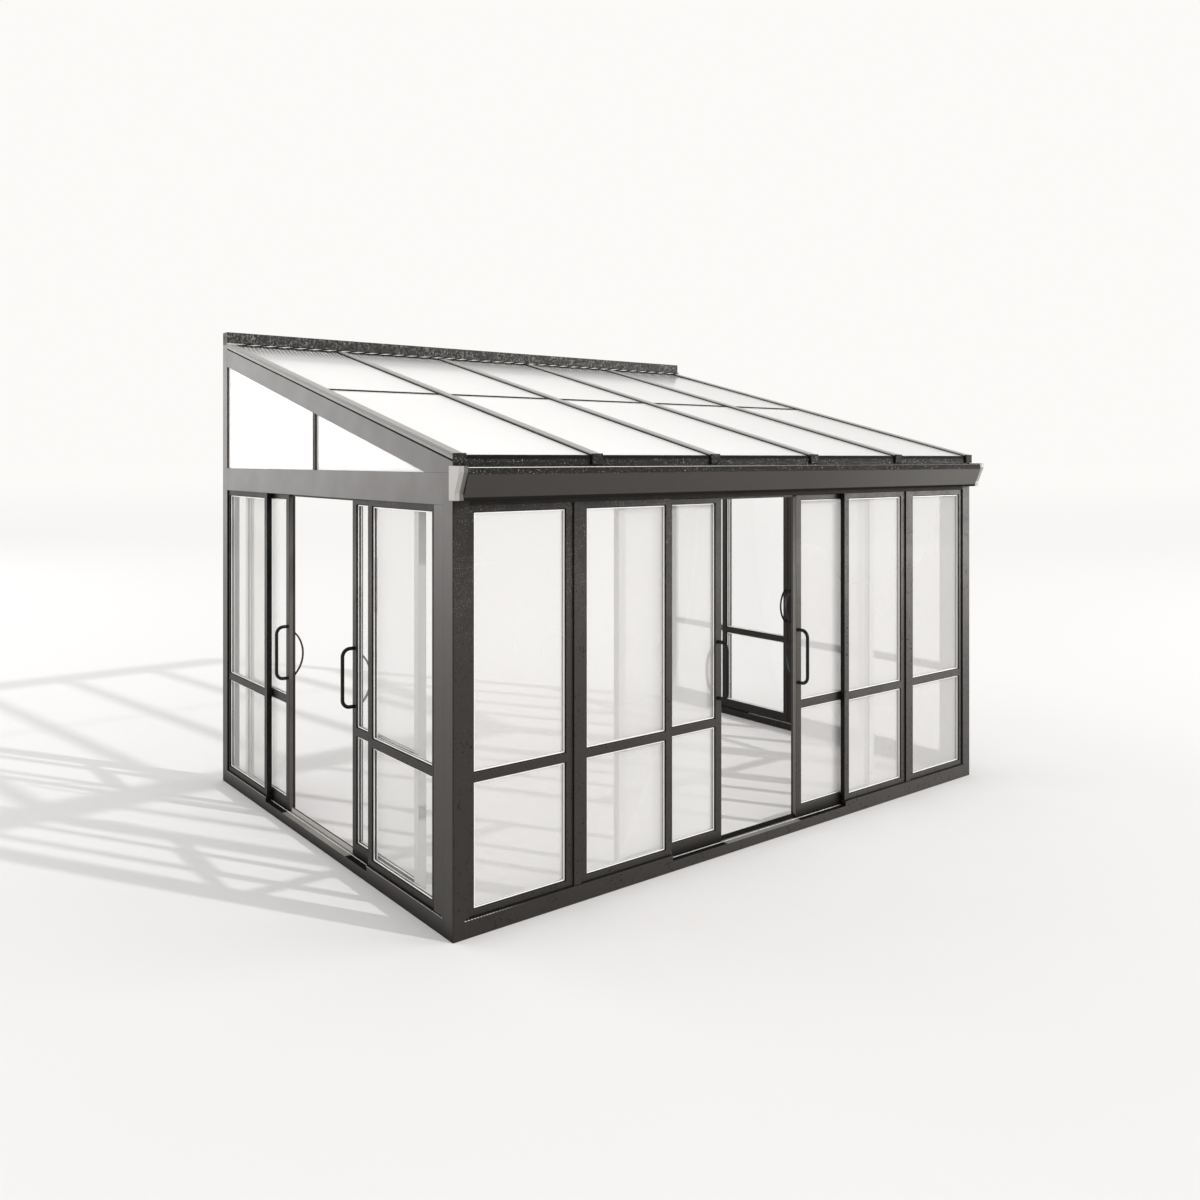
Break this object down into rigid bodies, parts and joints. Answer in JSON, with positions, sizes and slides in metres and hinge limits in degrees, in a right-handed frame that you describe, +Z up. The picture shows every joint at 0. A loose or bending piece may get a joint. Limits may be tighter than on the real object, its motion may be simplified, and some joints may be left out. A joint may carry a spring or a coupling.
{
  "type": "lean-to conservatory",
  "caption": "Three-sided lean-to glazed conservatory with a sloping glass roof, ogee gutter and paired sliding door leaves on each wall.",
  "frame": {"origin": "on the ground, under the middle of the bounding box", "axes": "+X along the front to the right seen from outside, +Y from the front to the house wall, +Z up"},
  "size_m": [4.572, 3.474, 3.335],
  "materials": {
    "frame_grey": "satin powder coat",
    "cap_grey": "satin",
    "handle_black": "satin",
    "gasket_black": "matte",
    "glazing": "clear"
  },
  "bodies": {
    "structure": {"sill_front": "frame_grey", "sill_left": "frame_grey", "sill_right": "frame_grey", "posts_front": "frame_grey", "posts_rear": "frame_grey", "head_front": "frame_grey", "transom_left": "frame_grey", "transom_right": "frame_grey", "uprights": "frame_grey", "fixed_front": "frame_grey", "fixed_left": "frame_grey", "fixed_right": "frame_grey", "fixed_front_glass": "glazing", "fixed_left_glass": "glazing", "fixed_right_glass": "glazing", "gable_left": "frame_grey", "gable_right": "frame_grey", "gable_glass": "glazing", "wall_plate": "frame_grey", "rafters": "frame_grey", "roof_caps": "cap_grey", "roof_trim": "frame_grey", "gaskets": "gasket_black", "roof_glass": "glazing", "gutter": "frame_grey", "gutter_caps": "cap_grey"},
    "leaf_front_left": {"leaf_front_left": "frame_grey", "leaf_front_left_glass": "glazing", "leaf_front_left_handle": "handle_black"},
    "leaf_front_right": {"leaf_front_right": "frame_grey", "leaf_front_right_glass": "glazing", "leaf_front_right_handle": "handle_black"},
    "leaf_left_front": {"leaf_left_front": "frame_grey", "leaf_left_front_glass": "glazing", "leaf_left_front_handle": "handle_black"},
    "leaf_left_rear": {"leaf_left_rear": "frame_grey", "leaf_left_rear_glass": "glazing", "leaf_left_rear_handle": "handle_black"},
    "leaf_right_front": {"leaf_right_front": "frame_grey", "leaf_right_front_glass": "glazing", "leaf_right_front_handle": "handle_black"},
    "leaf_right_rear": {"leaf_right_rear": "frame_grey", "leaf_right_rear_glass": "glazing", "leaf_right_rear_handle": "handle_black"}
  },
  "joints": [
    {"name": "slide_front_left", "type": "slide", "parent": "structure", "child": "leaf_front_left", "axis": [-1, 0, 0], "range_m": [-0.337, 0.398]},
    {"name": "slide_front_right", "type": "slide", "parent": "structure", "child": "leaf_front_right", "axis": [1, 0, 0], "range_m": [-0.337, 0.398]},
    {"name": "slide_left_front", "type": "slide", "parent": "structure", "child": "leaf_left_front", "axis": [0, -1, 0], "range_m": [-0.483, 0.244]},
    {"name": "slide_left_rear", "type": "slide", "parent": "structure", "child": "leaf_left_rear", "axis": [0, 1, 0], "range_m": [-0.481, 0.196]},
    {"name": "slide_right_front", "type": "slide", "parent": "structure", "child": "leaf_right_front", "axis": [0, -1, 0], "range_m": [0, 0.727]},
    {"name": "slide_right_rear", "type": "slide", "parent": "structure", "child": "leaf_right_rear", "axis": [0, 1, 0], "range_m": [0, 0.677]}
  ]
}
